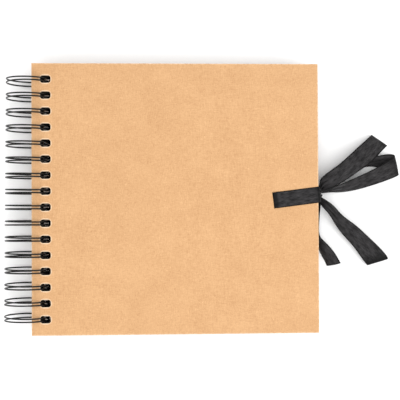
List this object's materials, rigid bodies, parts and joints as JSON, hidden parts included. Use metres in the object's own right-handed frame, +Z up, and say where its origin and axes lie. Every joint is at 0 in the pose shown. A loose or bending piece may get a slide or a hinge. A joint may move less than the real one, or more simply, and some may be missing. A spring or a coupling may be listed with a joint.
{
  "type": "scrapbook album",
  "caption": "Square kraft-board scrapbook album with card pages on a black twin-loop wire, tied shut at the fore-edge by a black satin ribbon bow.",
  "frame": {"origin": "on the table, under the middle of the album's box, with the album lying on its wire loops and on the back cover's fore-edge", "axes": "+Z up; +X from the wire binding towards the fore-edge and its bow; +Y along the spine. The covers are tipped 1.66 degrees about Y, lower at the fore-edge, because the loops stand proud of the back cover."},
  "size_m": [0.3196, 0.216, 0.0367],
  "materials": {
    "kraft_cover": "matt natural brown kraft, finely speckled",
    "kraft_liner": "matt kraft paper",
    "grey_board": "raw grey board",
    "page_card": "matt black card",
    "coated_wire": "satin black nylon coat over steel wire",
    "satin_ribbon": "black satin weave with a soft sheen"
  },
  "bodies": {
    "back_cover": {"back_cover_board": "grey_board", "back_cover_wrap": "kraft_cover", "back_cover_liner": "kraft_liner", "back_ribbon": "satin_ribbon", "wire_binding": "coated_wire", "bow_knot": "satin_ribbon", "bow_upper_loop": "satin_ribbon", "bow_lower_loop": "satin_ribbon", "bow_upper_tail": "satin_ribbon", "bow_lower_tail": "satin_ribbon"},
    "page_22": {"page_22": "page_card"},
    "page_21": {"page_21": "page_card"},
    "page_20": {"page_20": "page_card"},
    "page_19": {"page_19": "page_card"},
    "page_18": {"page_18": "page_card"},
    "page_17": {"page_17": "page_card"},
    "page_16": {"page_16": "page_card"},
    "page_15": {"page_15": "page_card"},
    "page_14": {"page_14": "page_card"},
    "page_13": {"page_13": "page_card"},
    "page_12": {"page_12": "page_card"},
    "page_11": {"page_11": "page_card"},
    "page_10": {"page_10": "page_card"},
    "page_09": {"page_09": "page_card"},
    "page_08": {"page_08": "page_card"},
    "page_07": {"page_07": "page_card"},
    "page_06": {"page_06": "page_card"},
    "page_05": {"page_05": "page_card"},
    "page_04": {"page_04": "page_card"},
    "page_03": {"page_03": "page_card"},
    "page_02": {"page_02": "page_card"},
    "page_01": {"page_01": "page_card"},
    "front_cover": {"front_cover_board": "grey_board", "front_cover_wrap": "kraft_cover", "front_cover_liner": "kraft_liner", "front_ribbon": "satin_ribbon"}
  },
  "joints": [
    {"name": "page_22_turn", "type": "hinge", "parent": "back_cover", "child": "page_22", "pos_m": [-0.14073, 0, 0.01836], "axis": [0, -1, 0], "range_deg": [0, 180]},
    {"name": "page_21_turn", "type": "hinge", "parent": "page_22", "child": "page_21", "pos_m": [-0.14073, 0, 0.01836], "axis": [0, -1, 0], "range_deg": [0, 180]},
    {"name": "page_20_turn", "type": "hinge", "parent": "page_21", "child": "page_20", "pos_m": [-0.14073, 0, 0.01836], "axis": [0, -1, 0], "range_deg": [0, 180]},
    {"name": "page_19_turn", "type": "hinge", "parent": "page_20", "child": "page_19", "pos_m": [-0.14073, 0, 0.01836], "axis": [0, -1, 0], "range_deg": [0, 180]},
    {"name": "page_18_turn", "type": "hinge", "parent": "page_19", "child": "page_18", "pos_m": [-0.14073, 0, 0.01836], "axis": [0, -1, 0], "range_deg": [0, 180]},
    {"name": "page_17_turn", "type": "hinge", "parent": "page_18", "child": "page_17", "pos_m": [-0.14073, 0, 0.01836], "axis": [0, -1, 0], "range_deg": [0, 180]},
    {"name": "page_16_turn", "type": "hinge", "parent": "page_17", "child": "page_16", "pos_m": [-0.14073, 0, 0.01836], "axis": [0, -1, 0], "range_deg": [0, 180]},
    {"name": "page_15_turn", "type": "hinge", "parent": "page_16", "child": "page_15", "pos_m": [-0.14073, 0, 0.01836], "axis": [0, -1, 0], "range_deg": [0, 180]},
    {"name": "page_14_turn", "type": "hinge", "parent": "page_15", "child": "page_14", "pos_m": [-0.14073, 0, 0.01836], "axis": [0, -1, 0], "range_deg": [0, 180]},
    {"name": "page_13_turn", "type": "hinge", "parent": "page_14", "child": "page_13", "pos_m": [-0.14073, 0, 0.01836], "axis": [0, -1, 0], "range_deg": [0, 180]},
    {"name": "page_12_turn", "type": "hinge", "parent": "page_13", "child": "page_12", "pos_m": [-0.14073, 0, 0.01836], "axis": [0, -1, 0], "range_deg": [0, 180]},
    {"name": "page_11_turn", "type": "hinge", "parent": "page_12", "child": "page_11", "pos_m": [-0.14073, 0, 0.01836], "axis": [0, -1, 0], "range_deg": [0, 180]},
    {"name": "page_10_turn", "type": "hinge", "parent": "page_11", "child": "page_10", "pos_m": [-0.14073, 0, 0.01836], "axis": [0, -1, 0], "range_deg": [0, 180]},
    {"name": "page_09_turn", "type": "hinge", "parent": "page_10", "child": "page_09", "pos_m": [-0.14073, 0, 0.01836], "axis": [0, -1, 0], "range_deg": [0, 180]},
    {"name": "page_08_turn", "type": "hinge", "parent": "page_09", "child": "page_08", "pos_m": [-0.14073, 0, 0.01836], "axis": [0, -1, 0], "range_deg": [0, 180]},
    {"name": "page_07_turn", "type": "hinge", "parent": "page_08", "child": "page_07", "pos_m": [-0.14073, 0, 0.01836], "axis": [0, -1, 0], "range_deg": [0, 180]},
    {"name": "page_06_turn", "type": "hinge", "parent": "page_07", "child": "page_06", "pos_m": [-0.14073, 0, 0.01836], "axis": [0, -1, 0], "range_deg": [0, 180]},
    {"name": "page_05_turn", "type": "hinge", "parent": "page_06", "child": "page_05", "pos_m": [-0.14073, 0, 0.01836], "axis": [0, -1, 0], "range_deg": [0, 180]},
    {"name": "page_04_turn", "type": "hinge", "parent": "page_05", "child": "page_04", "pos_m": [-0.14073, 0, 0.01836], "axis": [0, -1, 0], "range_deg": [0, 180]},
    {"name": "page_03_turn", "type": "hinge", "parent": "page_04", "child": "page_03", "pos_m": [-0.14073, 0, 0.01836], "axis": [0, -1, 0], "range_deg": [0, 180]},
    {"name": "page_02_turn", "type": "hinge", "parent": "page_03", "child": "page_02", "pos_m": [-0.14073, 0, 0.01836], "axis": [0, -1, 0], "range_deg": [0, 180]},
    {"name": "page_01_turn", "type": "hinge", "parent": "page_02", "child": "page_01", "pos_m": [-0.14073, 0, 0.01836], "axis": [0, -1, 0], "range_deg": [0, 180]},
    {"name": "front_cover_turn", "type": "hinge", "parent": "page_01", "child": "front_cover", "pos_m": [-0.14073, 0, 0.01836], "axis": [0, -1, 0], "range_deg": [0, 180]}
  ]
}
